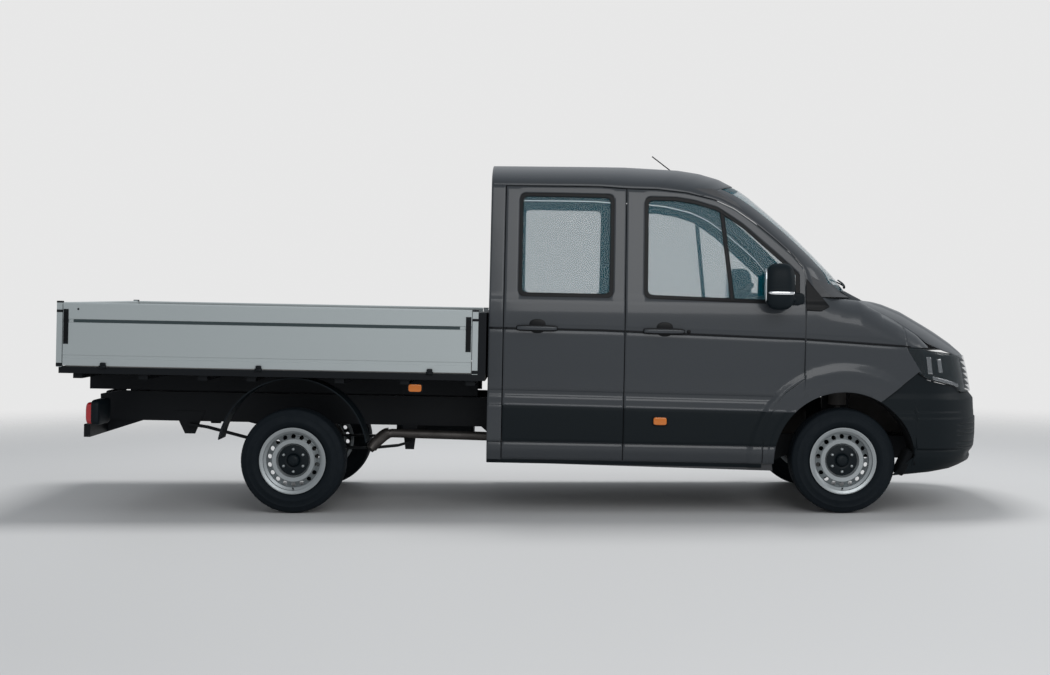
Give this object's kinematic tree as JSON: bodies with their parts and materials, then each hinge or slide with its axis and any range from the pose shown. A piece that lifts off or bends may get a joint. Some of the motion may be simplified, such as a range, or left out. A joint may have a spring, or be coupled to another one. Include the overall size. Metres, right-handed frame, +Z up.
{
  "type": "dropside truck",
  "caption": "Double-cab light truck with an open aluminium dropside bed, opening doors, bonnet and boards, steered front wheels and a leaf-sprung rear axle.",
  "frame": {"origin": "on the ground under the middle of the truck's bounding box", "axes": "+X forwards along the truck, +Y to its left, +Z up"},
  "size_m": [6.181, 2.47, 2.4384],
  "materials": {
    "cab_paint": "gloss dark grey paint",
    "black_plastic": "grained moulded plastic",
    "frame_black": "satin black chassis paint",
    "bed_aluminium": "satin anodised",
    "bed_floor": "dark resin-coated plywood with a black edge profile",
    "tyre": "matt rubber",
    "rim_steel": "silver paint",
    "glass": "clear with a light tint",
    "lamp_lens": "clear lens over a dark housing",
    "rear_lens": "red lens",
    "seat_fabric": "dark woven cloth",
    "exhaust_steel": "dull heat-marked steel"
  },
  "bodies": {
    "root": {"aerial": "black_plastic", "arch_liners": "black_plastic", "bed_floor": "bed_floor", "bed_subframe": "frame_black", "cab_back_wall": "cab_paint", "cab_floor": "black_plastic", "cab_glass": "glass", "chassis_frame": "frame_black", "corner_posts": "bed_aluminium", "dashboard": "black_plastic", "engine_block": "frame_black", "exhaust": "exhaust_steel", "front_bumper": "black_plastic", "front_seats": "seat_fabric", "front_subframe": "frame_black", "fuel_tank": "black_plastic", "grille": "black_plastic", "headboard": "frame_black", "headlamps": "lamp_lens", "leaf_springs": "frame_black", "left_front_wing": "cab_paint", "left_side_frame": "cab_paint", "mudguards": "black_plastic", "rear_axle": "frame_black", "rear_bench": "seat_fabric", "rear_lamps": "rear_lens", "right_front_wing": "cab_paint", "right_side_frame": "cab_paint", "roof": "cab_paint", "scuttle": "black_plastic"},
    "front_left_door": {"front_left_door": "cab_paint", "front_left_door_glass": "glass", "left_mirror": "black_plastic"},
    "front_right_door": {"front_right_door": "cab_paint", "front_right_door_glass": "glass", "right_mirror": "black_plastic"},
    "rear_left_door": {"rear_left_door": "cab_paint", "rear_left_door_glass": "glass"},
    "rear_right_door": {"rear_right_door": "cab_paint", "rear_right_door_glass": "glass"},
    "bonnet": {"bonnet": "cab_paint"},
    "left_dropside": {"left_dropside": "bed_aluminium"},
    "right_dropside": {"right_dropside": "bed_aluminium"},
    "tailgate": {"tailgate": "bed_aluminium"},
    "front_left_knuckle": {"front_left_knuckle": "frame_black"},
    "front_right_knuckle": {"front_right_knuckle": "frame_black"},
    "front_left_wheel": {"front_left_rim": "rim_steel", "front_left_tyre": "tyre"},
    "front_right_wheel": {"front_right_rim": "rim_steel", "front_right_tyre": "tyre"},
    "rear_left_wheel": {"rear_left_rim": "rim_steel", "rear_left_tyre": "tyre"},
    "rear_right_wheel": {"rear_right_rim": "rim_steel", "rear_right_tyre": "tyre"},
    "steering_wheel": {"steering_wheel": "black_plastic"}
  },
  "joints": [
    {"name": "front_left_door_hinge", "type": "hinge", "parent": "root", "child": "front_left_door", "pos_m": [1.81876, 1.021, 1.00518], "axis": [-0.0192, 0, -0.9998], "range_deg": [0, 70]},
    {"name": "front_right_door_hinge", "type": "hinge", "parent": "root", "child": "front_right_door", "pos_m": [1.81876, -1.021, 1.00518], "axis": [0.0192, 0, 0.9998], "range_deg": [0, 70]},
    {"name": "rear_left_door_hinge", "type": "hinge", "parent": "root", "child": "rear_left_door", "pos_m": [0.63098, 1.021, 1.02798], "axis": [-0.0192, 0, -0.9998], "range_deg": [0, 80]},
    {"name": "rear_right_door_hinge", "type": "hinge", "parent": "root", "child": "rear_right_door", "pos_m": [0.63098, -1.021, 1.02798], "axis": [0.0192, 0, 0.9998], "range_deg": [0, 80]},
    {"name": "bonnet_hinge", "type": "hinge", "parent": "root", "child": "bonnet", "pos_m": [2.18691, 0, 1.4782], "axis": [0, -1, 0], "range_deg": [0, 50]},
    {"name": "left_dropside_hinge", "type": "hinge", "parent": "root", "child": "left_dropside", "pos_m": [-1.6889, 1.078, 0.95251], "axis": [-0.9998, 0, 0.0192], "range_deg": [0, 175]},
    {"name": "right_dropside_hinge", "type": "hinge", "parent": "root", "child": "right_dropside", "pos_m": [-1.6889, -1.078, 0.95251], "axis": [0.9998, 0, -0.0192], "range_deg": [0, 175]},
    {"name": "tailgate_hinge", "type": "hinge", "parent": "root", "child": "tailgate", "pos_m": [-3.08364, 0, 0.97928], "axis": [0, -1, 0], "range_deg": [0, 175]},
    {"name": "front_left_steer", "type": "hinge", "parent": "root", "child": "front_left_knuckle", "pos_m": [2.082, 0.715, 0.346], "axis": [0, 0, 1], "range_deg": [-33, 33]},
    {"name": "front_right_steer", "type": "hinge", "parent": "root", "child": "front_right_knuckle", "pos_m": [2.082, -0.715, 0.346], "axis": [0, 0, 1], "range_deg": [-33, 33]},
    {"name": "front_left_spin", "type": "hinge", "parent": "front_left_knuckle", "child": "front_left_wheel", "pos_m": [2.082, 0.855, 0.346], "axis": [0, 1, 0], "continuous": true},
    {"name": "front_right_spin", "type": "hinge", "parent": "front_right_knuckle", "child": "front_right_wheel", "pos_m": [2.082, -0.855, 0.346], "axis": [0, 1, 0], "continuous": true},
    {"name": "rear_left_spin", "type": "hinge", "parent": "root", "child": "rear_left_wheel", "pos_m": [-1.558, 0.855, 0.346], "axis": [0, 1, 0], "continuous": true},
    {"name": "rear_right_spin", "type": "hinge", "parent": "root", "child": "rear_right_wheel", "pos_m": [-1.558, -0.855, 0.346], "axis": [0, 1, 0], "continuous": true},
    {"name": "steering_wheel_turn", "type": "hinge", "parent": "root", "child": "steering_wheel", "pos_m": [1.4905, 0.42, 1.41155], "axis": [-0.5577, 0, 0.83], "range_deg": [-600, 600]}
  ],
  "couplings": [
    {"joint": "front_right_steer", "follows": "front_left_steer", "ratio": 1},
    {"joint": "steering_wheel_turn", "follows": "front_left_steer", "ratio": 18}
  ]
}
